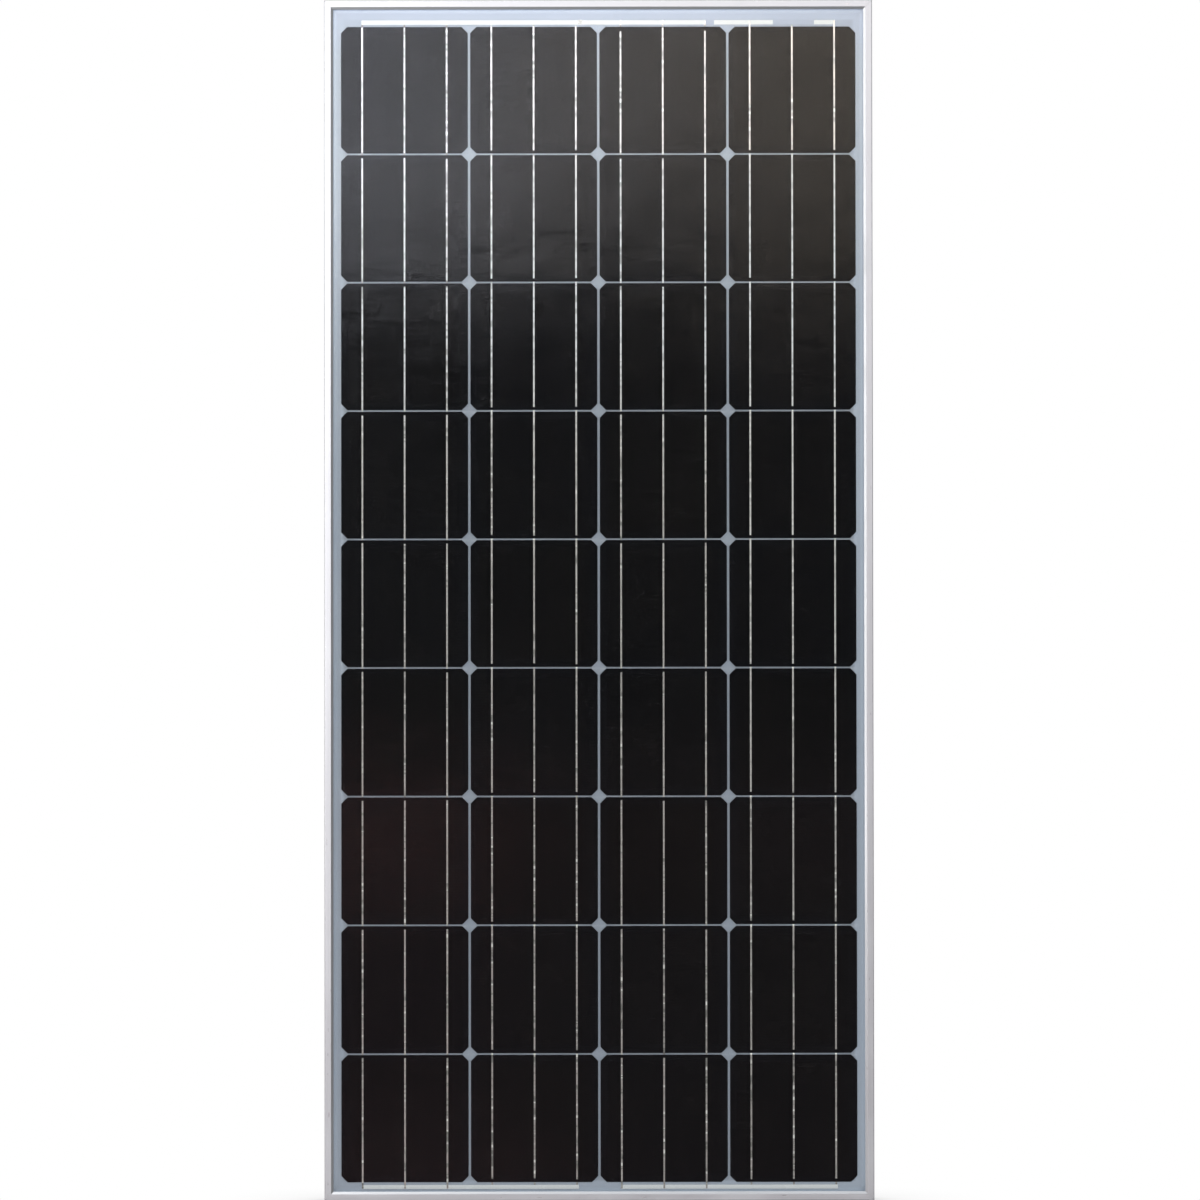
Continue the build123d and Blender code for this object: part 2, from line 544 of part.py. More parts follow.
save("jbox_adhesive_pad", box_slab(-2, 7, SHEET_Y1 + GAP, FLOOR_Y0 - GAP)
     - block(-34, 34, -11, -9, 1386, 1412))
save("jbox_base", jbox_base())
save("jbox_lid", jbox_lid())
save("jbox_lid_seal", box_slab(1.45, BOX_R - 1.45, RIM_Y + 0.02, 11.29)
     - box_slab(3.15, BOX_R - 3.15, RIM_Y - 1, 12))
save("jbox_hinge_pin", hinge_pin())
for i, (tag, saddle_x) in enumerate((("left", -GLAND_X), ("middle", None), ("right", GLAND_X))):
    save("jbox_terminal_" + tag, terminal(*TERMINAL_X[i], saddle_x, SCREW_X[i], LEAD_X[i]))
save("jbox_ribbon_clips", [ribbon_clip(x) for x in LEAD_X])
save("jbox_terminal_screws", [terminal_screw(x) for x in SCREW_X])
save("bypass_diode_left", diode(-12.0))
save("bypass_diode_right", diode(12.0))

# ---------------------------------------------------------------------------
# Cables with their glands
# ---------------------------------------------------------------------------
NUT_L, NUT_FLOOR = 14.0, 3.0
NUT_Z = BOX_Z0 - 19.0            # outer end of the gland nut
RING_Z0 = NUT_Z + NUT_FLOOR
RING_Z1 = RING_Z0 + 5.2
PLUG_TOP, SOCKET_TOP = (-58.0, 1.0, 520.0), (54.0, 1.0, 566.0)   # tops of the connectors
CABLE_IN = 26.5                  # insulation runs this far into a connector
COPPER_IN = 33.0                 # conductor runs this far
BEND_TOP, BEND_END = 1282, 26    # height where a bend starts; height over a connector it ends
# Bends between box and connector: x, y, z
PLUG_BENDS = [(-50, 1, 1150), (-84, 1, 980), (-90, 1, 830), (-70, 1, 670)]
SOCKET_BENDS = [(48, 1, 1160), (76, 1, 1010), (72, 1, 850), (56, 1, 710)]


def gland_nut():
    nut = extrude(RegularPolygon(9.0, 6, major_radius=False), NUT_L)
    nut = nut & turned([(0, 0), (8.7, 0), (10.4, 1.3), (10.4, NUT_L - 0.8),
                        (9.9, NUT_L), (0, NUT_L)])
    nut -= cyl_z(0, 0, NUT_FLOOR, NUT_L + 1, 7.7)
    return nut - cyl_z(0, 0, -1, NUT_FLOOR + 1, CABLE_HOLE_R)


def gland_ring():
    return turned([(CABLE_HOLE_R, RING_Z0 + 0.02), (7.4, RING_Z0 + 0.02), (7.4, RING_Z0 + 1.6),
                   (5.5, RING_Z0 + 1.8), (5.5, RING_Z1), (CABLE_HOLE_R, RING_Z1)])


def cable_seal(radius, z0, z1):
    """Sleeve around the cable."""
    return turned([(CABLE_R + GAP, z0), (radius, z0), (radius, z1), (CABLE_R + GAP, z1)])


def swept(radius, gland_x, end, bends, z_start, depth):
    """Round bar from z_start in the box to a depth inside the connector."""
    x, y, z = end
    straight = Line((gland_x, GLAND_Y, z_start), (gland_x, GLAND_Y, BEND_TOP))
    bend = Spline((gland_x, GLAND_Y, BEND_TOP), *bends, (x, y, z + BEND_END),
                  tangents=[(0, 0, -1), (0, 0, -1)])
    tail = Line((x, y, z + BEND_END), (x, y, z - depth))
    plane = Plane(origin=(gland_x, GLAND_Y, z_start), x_dir=(1, 0, 0), z_dir=(0, 0, -1))
    return sweep(plane * Circle(radius), path=Wire([straight, bend, tail]))


for tag, *route in (("left", -GLAND_X, PLUG_TOP, PLUG_BENDS),
                    ("right", GLAND_X, SOCKET_TOP, SOCKET_BENDS)):
    save("gland_nut_" + tag, Pos(route[0], GLAND_Y, NUT_Z) * gland_nut())
    save("gland_ring_" + tag, Pos(route[0], GLAND_Y, 0) * gland_ring())
    save("cable_" + tag, swept(CABLE_R, *route, 1338, CABLE_IN)
         - swept(COPPER_HOLE_R, *route, 1339, CABLE_IN + 1))
    save("conductor_" + tag, swept(COPPER_R, *route, SADDLE_Z1 + 0.5, COPPER_IN))
save("gland_seals", [Pos(x, GLAND_Y, 0) * cable_seal(5.55, RING_Z1 + 0.03, BOX_Z0 - 1.03)
                     for x in (-GLAND_X, GLAND_X)])

# ---------------------------------------------------------------------------
# Connectors, built at the origin with the cable entering from +Z.
# z = 0 is the cable end of the nut; the mating face is at the bottom.
# ---------------------------------------------------------------------------
CONN_NUT_L, CONN_NUT_R = 16.0, 8.6
FLUTES, FLUTE_DEPTH, FLUTE_R = 12, 0.7, 1.6


def conn_nut():
    nut = cyl_z(0, 0, -CONN_NUT_L, 0, CONN_NUT_R)
    reach = CONN_NUT_R + FLUTE_R - FLUTE_DEPTH
    for i in range(FLUTES):
        angle = 2 * math.pi * i / FLUTES
        nut -= cyl_z(reach * math.cos(angle), reach * math.sin(angle),
                     -CONN_NUT_L - 1, -2, FLUTE_R)
    nut = nut & turned([(0, -CONN_NUT_L), (CONN_NUT_R, -CONN_NUT_L), (CONN_NUT_R, -2.0),
                        (7.0, 0), (0, 0)])
    nut -= cyl_z(0, 0, -CONN_NUT_L - 1, -3, 6.7)
    return nut - cyl_z(0, 0, -4, 1, CABLE_HOLE_R)


def conn_ring():
    return turned([(CABLE_HOLE_R, -3.02), (6.3, -3.02), (6.3, -4.6), (5.1, -4.8),
                   (5.1, -8.6), (CABLE_HOLE_R, -8.6)])


def housing_blank(front_profile):
    """Threaded tail and collar with two flats, then the given (radius, z) profile."""
    thread = thread_profile(6.6, 0.4, -17.4, -6.6)[::-1]
    body = turned([(0, -6.0), (6.1, -6.0)] + thread
                  + [(6.6, -18.0), (8.4, -18.0), (8.4, -24.0), (8.0, -24.6)] + front_profile)
    return body - (block(-10, 10, 7.2, 10, -24.0, -18.0)
                   + block(-10, 10, -10, -7.2, -24.0, -18.0))


def grip_groove(z):
    """V-shaped ring cutter."""
    return turned([(7.6, z), (9, z + 0.5), (9, z - 0.5)])


def cable_bored(body):
    body -= cyl_z(0, 0, -17.2, 0, 5.2)
    return body - cyl_z(0, 0, -27.0, -17, 3.2)


def plug_housing():
    body = housing_blank([(8.0, -61.4), (7.4, -62.0), (0, -62.0)])
    for i in range(5):
        body -= grip_groove(-26.8 - 2.2 * i)
    body = cable_bored(body)
    body -= cyl_z(0, 0, -40, -26, 2.62)
    body -= cyl_z(0, 0, -63, -38, 6.3)
    # windows for the socket's latch arms
    for side in (-1, 1):
        body -= block(*sorted((side * 5, side * 9)), -2.2, 2.2, -52.0, -44.0)
    return body


def plug_contact():
    pin = turned([(0, -27.1), (2.6, -27.1), (2.6, -37.9), (2.0, -38.2),
                  (2.0, -57.0), (1.2, -58.0), (0, -58.0)])
    return pin - cyl_z(0, 0, -33.6, -26, COPPER_HOLE_R)


def socket_housing():
    body = housing_blank([(8.0, -38.0), (5.9, -38.0), (5.9, -41.0), (5.0, -41.0), (5.0, -42.7),
                          (5.9, -42.7), (5.9, -59.2), (5.2, -60.0), (0, -60.0)])
    # latch arms: root, arm and inward hook
    for side in (-1, 1):
        for near, far, z0, z1 in ((5, 9.7, -37.6, -32.0), (8.35, 9.7, -51.5, -37.0),
                                  (7.2, 8.6, -51.5, -47.5)):
            body += block(*sorted((side * near, side * far)), -2.0, 2.0, z0, z1)
    for i in range(4):
        body -= grip_groove(-26.4 - 1.7 * i) - block(-10, 10, -2.05, 2.05, -33, -31)
    return cable_bored(body) - cyl_z(0, 0, -61, -26, 3.12)


def socket_contact():
    tube = turned([(0, -27.1), (2.7, -27.1), (2.7, -34.5), (3.05, -35.0),
                   (3.05, -58.6), (2.7, -59.0), (0, -59.0)])
    tube -= cyl_z(0, 0, -33.6, -26, COPPER_HOLE_R)
    return tube - cyl_z(0, 0, -60, -40.0, 2.05)


for kind, top, housing, contact in (("plug", PLUG_TOP, plug_housing, plug_contact),
                                    ("socket", SOCKET_TOP, socket_housing, socket_contact)):
    save(kind + "_housing", Pos(*top) * housing())
    save(kind + "_contact", Pos(*top) * contact())
    save(kind + "_ring", Pos(*top) * conn_ring())
    save(kind + "_nut", Pos(*top) * conn_nut())
save("connector_cable_seals",
     [Pos(*top) * cable_seal(5.15, -8.63, -17.1) for top in (PLUG_TOP, SOCKET_TOP)])
save("socket_o_ring", Pos(*SOCKET_TOP) * Pos(0, 0, -41.85) * Torus(5.82, 0.8))
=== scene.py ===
import math

import bpy
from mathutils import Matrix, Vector


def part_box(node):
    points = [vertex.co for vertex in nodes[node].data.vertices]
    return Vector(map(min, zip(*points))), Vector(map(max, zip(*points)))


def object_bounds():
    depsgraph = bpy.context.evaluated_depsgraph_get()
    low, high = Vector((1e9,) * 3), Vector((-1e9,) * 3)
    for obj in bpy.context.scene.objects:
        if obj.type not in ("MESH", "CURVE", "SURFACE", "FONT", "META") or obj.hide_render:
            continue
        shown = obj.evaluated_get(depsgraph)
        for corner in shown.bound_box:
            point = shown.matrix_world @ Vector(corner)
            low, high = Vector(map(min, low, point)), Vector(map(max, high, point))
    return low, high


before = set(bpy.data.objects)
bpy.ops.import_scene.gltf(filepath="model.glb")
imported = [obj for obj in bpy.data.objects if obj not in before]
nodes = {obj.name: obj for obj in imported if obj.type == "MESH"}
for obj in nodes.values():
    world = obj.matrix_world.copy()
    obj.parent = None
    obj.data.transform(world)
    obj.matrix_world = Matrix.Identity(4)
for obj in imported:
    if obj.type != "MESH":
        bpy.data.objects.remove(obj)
lo0, hi0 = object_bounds()
scene = bpy.context.scene
scene.cycles.transparent_max_bounces = 32
scene.cycles.max_bounces = 10
scene.cycles.glossy_bounces = 4
scene.view_settings.view_transform = "Standard"
scene.view_settings.look = "None"


# ---------------------------------------------------------------------------
# node helpers
# ---------------------------------------------------------------------------
class G:
    """A small builder for shader node trees."""

    def __init__(self, tree):
        self.t = tree
        self.n = 0

    def node(self, kind, **props):
        x = self.t.nodes.new(kind)
        x.location = (-1800 + 180 * (self.n % 10), 600 - 220 * (self.n // 10))
        self.n += 1
        for k, v in props.items():
            setattr(x, k, v)
        return x

    def put(self, sock, v):
        if v is None:
            return
        if isinstance(v, bpy.types.NodeSocket):
            self.t.links.new(v, sock)
        else:
            if hasattr(sock.default_value, "__len__"):
                v = tuple(v) if hasattr(v, "__len__") else (v,) * len(sock.default_value)
                if len(sock.default_value) == 4 and len(v) == 3:
                    v = (*v, 1.0)
            sock.default_value = v

    def m(self, op, a, b=None, c=None, clamp=False):
        x = self.node("ShaderNodeMath", operation=op, use_clamp=clamp)
        for s, v in zip(x.inputs, (a, b, c)):
            self.put(s, v)
        return x.outputs[0]

    def vm(self, op, a, b=None, scale=None):
        x = self.node("ShaderNodeVectorMath", operation=op)
        self.put(x.inputs[0], a)
        self.put(x.inputs[1], b)
        if scale is not None:
            self.put(x.inputs["Scale"], scale)
        return x.outputs["Value"] if op in ("LENGTH", "DOT_PRODUCT", "DISTANCE") else x.outputs["Vector"]

    def xyz(self, v):
        x = self.node("ShaderNodeSeparateXYZ")
        self.put(x.inputs[0], v)
        return x.outputs

    def vec(self, a, b, c):
        x = self.node("ShaderNodeCombineXYZ")
        for s, v in zip(x.inputs, (a, b, c)):
            self.put(s, v)
        return x.outputs[0]

    def noise(self, v, scale, detail=2.0, rough=0.5, dist=0.0, dims="3D"):
        x = self.node("ShaderNodeTexNoise", noise_dimensions=dims)
        if dims == "1D":
            self.put(x.inputs["W"], v)
        else:
            self.put(x.inputs["Vector"], v)
        self.put(x.inputs["Scale"], scale)
        self.put(x.inputs["Detail"], detail)
        self.put(x.inputs["Roughness"], rough)
        self.put(x.inputs["Distortion"], dist)
        return x.outputs["Fac"]

    def voronoi(self, v, scale, feature="F1", rand=1.0):
        x = self.node("ShaderNodeTexVoronoi", feature=feature)
        self.put(x.inputs["Vector"], v)
        self.put(x.inputs["Scale"], scale)
        self.put(x.inputs["Randomness"], rand)
        return x

    def white(self, v):
        x = self.node("ShaderNodeTexWhiteNoise", noise_dimensions="3D")
        self.put(x.inputs["Vector"], v)
        return x.outputs["Value"]

    def map(self, v, a, b, c=0.0, d=1.0, smooth=False):
        x = self.node("ShaderNodeMapRange", clamp=True)
        x.interpolation_type = "SMOOTHSTEP" if smooth else "LINEAR"
        for s, q in zip(x.inputs, (v, a, b, c, d)):
            self.put(s, q)
        return x.outputs[0]

    def mix(self, f, a, b, blend="MIX"):
        x = self.node("ShaderNodeMix", data_type="RGBA", blend_type=blend)
        self.put(x.inputs[0], f)
        self.put(x.inputs[6], a)
        self.put(x.inputs[7], b)
        return x.outputs[2]

    def ramp(self, f, stops, mode="EASE"):
        x = self.node("ShaderNodeValToRGB")
        x.color_ramp.interpolation = mode
        e = x.color_ramp.elements
        while len(e) > 1:
            e.remove(e[-1])
        e[0].position, e[0].color = stops[0][0], (*stops[0][1], 1)
        for p, c in stops[1:]:
            q = e.new(p)
            q.color = (*c, 1)
        self.put(x.inputs[0], f)
        return x.outputs[0]

    def bump(self, height, dist, strength=1.0, normal=None):
        x = self.node("ShaderNodeBump")
        self.put(x.inputs["Height"], height)
        self.put(x.inputs["Distance"], dist)
        self.put(x.inputs["Strength"], strength)
        if normal is not None:
            self.put(x.inputs["Normal"], normal)
        return x.outputs[0]

    def coords(self):
        return self.node("ShaderNodeTexCoord").outputs["Object"]

    def saw(self, v, pitch, offset=0.0):
        """Distance from the nearest of the marks at offset + k * pitch."""
        a = self.m("DIVIDE", self.m("SUBTRACT", v, offset), pitch)
        f = self.m("ABSOLUTE", self.m("SUBTRACT", a, self.m("ROUND", a)))
        return self.m("MULTIPLY", f, pitch)


def principled(name, **kw):
    mat = bpy.data.materials.new(name)
    mat.use_nodes = True
    g = G(mat.node_tree)
    mat.node_tree.nodes.clear()
    out = g.node("ShaderNodeOutputMaterial")
    p = g.node("ShaderNodeBsdfPrincipled")
    g.t.links.new(p.outputs[0], out.inputs[0])
    for k, v in kw.items():
        g.put(p.inputs[k], v)
    return mat, g, p, out


def grade(g, p, color, rough, bump=None, metal=None):
    g.put(p.inputs["Base Color"], color)
    g.put(p.inputs["Roughness"], rough)
    if bump is not None:
        g.put(p.inputs["Normal"], bump)
    if metal is not None:
        g.put(p.inputs["Metallic"], metal)


# ---------------------------------------------------------------------------
# materials
# ---------------------------------------------------------------------------
def anodised(name, along):
    """Clear anodised extrusion: die lines along its length, fine matt grain, faint handling marks."""
    mat, g, p, out = principled(name)
    co = g.coords()
    s = {"Z": (1600.0, 1600.0, 5.0), "X": (5.0, 1600.0, 1600.0)}[along]
    lines = g.noise(g.vm("MULTIPLY", co, s), 1.0, 3.0, 0.6)
    s2 = {"Z": (260.0, 260.0, 1.3), "X": (1.3, 260.0, 260.0)}[along]
    bands = g.noise(g.vm("MULTIPLY", co, s2), 1.0, 2.0, 0.5)
    grain = g.noise(co, 5200.0, 2.0, 0.7)
    cloud = g.noise(co, 9.0, 4.0, 0.55)
    marks = g.voronoi(g.vm("MULTIPLY", co, (90, 90, 90)), 1.0, "DISTANCE_TO_EDGE")
    # a few short scratches where the frame has been handled
    sc = g.noise(g.vm("MULTIPLY", co, (60, 60, 900) if along == "X" else (900, 60, 60)), 1.0, 1.0, 0.4)
    scr = g.map(sc, 0.735, 0.76)
    base = g.mix(g.map(lines, 0.3, 0.7), (0.75, 0.765, 0.785), (0.83, 0.84, 0.855))
    base = g.mix(g.m("MULTIPLY", g.map(bands, 0.35, 0.65), 0.35), base, (0.70, 0.715, 0.735))
    base = g.mix(g.m("MULTIPLY", scr, 0.35), base, (0.93, 0.93, 0.93))
    dust = g.map(cloud, 0.52, 0.75)
    base = g.mix(g.m("MULTIPLY", dust, 0.12), base, (0.62, 0.61, 0.59))
    # painted shade along the rounded arris where the front lip meets the outer face
    x, y, z = g.xyz(co)
    arris_shade = g.m("MULTIPLY", g.map(g.m("ABSOLUTE", x), hi0.x - 0.0010, hi0.x - 0.0004), g.map(y, lo0.y + 0.0016, lo0.y + 0.0008))
    base = g.mix(g.m("MULTIPLY", arris_shade, 0.42), base, (0.30, 0.30, 0.31))
    # painted shade: the sloping inner edge is painted darker where it looks down or to the right, away from the
    # light
    nx, ny, nz = g.xyz(g.node("ShaderNodeNewGeometry").outputs["True Normal"])
    shaded_slope = g.m("MAXIMUM", g.m("GREATER_THAN", nx, 0.3), g.m("LESS_THAN", nz, -0.3))
    shaded_slope = g.m("MULTIPLY", shaded_slope, g.m("LESS_THAN", y, lo0.y + 0.0021))
    shaded_slope = g.m("MULTIPLY", shaded_slope, g.map(g.m("MINIMUM", g.m("SUBTRACT", hi0.x, g.m("ABSOLUTE", x)), g.m("SUBTRACT", hi0.z, z)), 0.006, 0.007))
    base = g.mix(g.m("MULTIPLY", shaded_slope, 0.58), base, (0.16, 0.165, 0.17))
    # painted shade: the slopes that look up or to the left, towards the light, are painted darker as well, on the
    # right-hand rail more so higher up
    lit = g.m("MULTIPLY", g.m("MAXIMUM", g.m("LESS_THAN", nx, -0.3), g.m("GREATER_THAN", nz, 0.3)), g.m("LESS_THAN", y, lo0.y + 0.0021))
    inner = g.m("MINIMUM", g.m("SUBTRACT", hi0.x, g.m("ABSOLUTE", x)), g.m("MINIMUM", g.m("SUBTRACT", hi0.z, z), g.m("SUBTRACT", z, lo0.z)))
    lit_slope_shade = g.m("MAXIMUM", g.m("MULTIPLY", g.m("LESS_THAN", nx, -0.3), g.map(z, 0.3, 0.6, 0.10, 0.50)), 0.30)
    base = g.mix(g.m("MULTIPLY", g.m("MULTIPLY", lit, g.map(inner, 0.006, 0.007)), lit_slope_shade), base, (0.16, 0.165, 0.17))
    r = g.m("ADD", g.map(lines, 0.2, 0.8, 0.29, 0.40), g.m("MULTIPLY", dust, 0.10))
    r = g.m("SUBTRACT", r, g.m("MULTIPLY", scr, 0.10))
    h = g.m("ADD", g.m("MULTIPLY", lines, 0.7), g.m("MULTIPLY", grain, 0.5))
    h = g.m("SUBTRACT", h, g.m("MULTIPLY", scr, 0.5))
    b1 = g.bump(h, 0.00001, 0.55)
    grade(g, p, base, r, b1, 0.80)
    return mat


frame_v = anodised("anodised_long", "Z")
frame_h = anodised("anodised_short", "X")


def glass_skin(g, p, co, weight=1.0):
    """The reflection of the glass, carried as a coat by the layers laminated under it, with the orange peel of rolled glass."""
    big = g.noise(co, 14.0, 2.0, 0.5)
    mid = g.noise(co, 95.0, 3.0, 0.55, 0.4)
    smear = g.noise(g.vm("MULTIPLY", co, (6.0, 6.0, 3.0)), 1.0, 5.0, 0.6)
    h = g.m("ADD", g.m("MULTIPLY", big, 0.20), g.m("MULTIPLY", mid, 0.030))
    n = g.bump(h, 0.001, 1.0)
    g.put(p.inputs["Coat Weight"], weight)
    g.put(p.inputs["Coat IOR"], 1.5)
    g.put(p.inputs["Coat Roughness"], g.map(smear, 0.35, 0.75, 0.045, 0.095))
    g.put(p.inputs["Coat Normal"], n)


def glass_material():
    """Tempered low-iron glass: clear, very slightly green, with a faint sheen on its outer face."""
    mat = bpy.data.materials.new("solar_glass")
    mat.use_nodes = True
    g = G(mat.node_tree)
    mat.node_tree.nodes.clear()
    out = g.node("ShaderNodeOutputMaterial")
    co = g.coords()
    geo = g.node("ShaderNodeNewGeometry")
    path = g.node("ShaderNodeLightPath")
    clear = g.node("ShaderNodeBsdfTransparent")
    stain = g.noise(co, 12.0, 3.0, 0.5)
    g.put(clear.inputs[0], g.mix(stain, (0.966, 0.981, 0.978), (0.972, 0.984, 0.984)))
    gloss = g.node("ShaderNodeBsdfGlossy")
    g.put(gloss.inputs["Color"], (1, 1, 1))
    h = g.noise(co, 95.0, 3.0, 0.55, 0.4)
    g.put(gloss.inputs["Roughness"], 0.08)
    g.put(gloss.inputs["Normal"], g.bump(h, 0.00003, 1.0))
    fr = g.node("ShaderNodeFresnel")
    g.put(fr.inputs["IOR"], 1.5)
    outer = g.m("SUBTRACT", 1.0, geo.outputs["Backfacing"])
    outer = g.m("MULTIPLY", outer, g.m("SUBTRACT", 1.0, path.outputs["Is Camera Ray"]))
    mixs = g.node("ShaderNodeMixShader")
    g.put(mixs.inputs[0], g.m("MULTIPLY", fr.outputs[0], outer))
    g.t.links.new(clear.outputs[0], mixs.inputs[1])
    g.t.links.new(gloss.outputs[0], mixs.inputs[2])
    g.t.links.new(mixs.outputs[0], out.inputs[0])
    return mat


def clear_film(name):
    mat = bpy.data.materials.new(name)
    mat.use_nodes = True
    g = G(mat.node_tree)
    mat.node_tree.nodes.clear()
    out = g.node("ShaderNodeOutputMaterial")
    co = g.coords()
    n = g.noise(co, 60.0, 3.0, 0.6)
    t = g.node("ShaderNodeBsdfTransparent")
    g.put(t.inputs[0], g.mix(n, (0.992, 0.995, 0.992), (0.998, 0.998, 0.996)))
    g.t.links.new(t.outputs[0], out.inputs[0])
    return mat


PX, PZ, CELL = 0.159, 0.158, 0.156
X0 = -1.5 * PX
Z0 = 1.442 - CELL / 2


def cell_material():
    """Monocrystalline silicon: near black, fine silver fingers, slight variation from wafer to wafer."""
    mat, g, p, out = principled("silicon")
    co = g.coords()
    x, y, z = g.xyz(co)
    ix = g.m("ROUND", g.m("DIVIDE", g.m("SUBTRACT", x, X0), PX))
    iz = g.m("ROUND", g.m("DIVIDE", g.m("SUBTRACT", z, Z0), PZ))
    cell_id = g.vec(ix, iz, 7.0)
    rnd = g.white(cell_id)
    rnd2 = g.white(g.vm("ADD", cell_id, (3.1, 5.7, 1.3)))
    dx = g.m("ABSOLUTE", g.m("SUBTRACT", x, g.m("ADD", X0, g.m("MULTIPLY", ix, PX))))
    dz = g.m("ABSOLUTE", g.m("SUBTRACT", z, g.m("ADD", Z0, g.m("MULTIPLY", iz, PZ))))
    base = g.mix(rnd, (0.0038, 0.0035, 0.0036), (0.0054, 0.0048, 0.0046))
    base = g.mix(g.m("MULTIPLY", rnd2, 0.35), base, (0.0052, 0.0056, 0.0080))
    stain = g.noise(co, 22.0, 4.0, 0.6)
    base = g.mix(g.m("MULTIPLY", g.map(stain, 0.45, 0.8), 0.5), base, (0.0088, 0.0072, 0.0065))
    # warm centre and cooler rim, as an anti-reflection coat gives
    rim = g.map(g.m("MAXIMUM", dx, dz), 0.060, 0.078, 0.0, 1.0, True)
    base = g.mix(g.m("MULTIPLY", rim, 0.35), base, (0.0062, 0.0070, 0.0100))
    # painted sheen: towards a grazing view the cells are painted lighter and bluer, standing in for the
    # anti-reflection coat's reflection
    grazing_sheen = g.node("ShaderNodeLayerWeight")
    g.put(grazing_sheen.inputs["Blend"], 0.35)
    base = g.mix(g.m("MULTIPLY", grazing_sheen.outputs["Facing"], 0.55), base, (0.020, 0.026, 0.055))
    # printed fingers across the cell, stopping short of its edges
    f = g.saw(z, 0.0019)
    line = g.map(f, 0.00007, 0.00016, 1.0, 0.0)
    inside = g.m("MULTIPLY", g.map(dx, 0.0765, 0.0768, 1.0, 0.0), g.map(dz, 0.0765, 0.0768, 1.0, 0.0))
    line = g.m("MULTIPLY", line, inside)
    base = g.mix(g.m("MULTIPLY", line, 0.07), base, (0.080, 0.080, 0.083))
    r = g.map(stain, 0.2, 0.8, 0.30, 0.42)
    tex = g.noise(co, 2600.0, 2.0, 0.6)
    b = g.bump(g.m("ADD", g.m("MULTIPLY", tex, 0.4), g.m("MULTIPLY", line, 0.3)), 0.00001, 0.6)
    grade(g, p, base, r, b, 0.0)
    g.put(p.inputs["Specular IOR Level"], 0.04)
    glass_skin(g, p, co)
    return mat


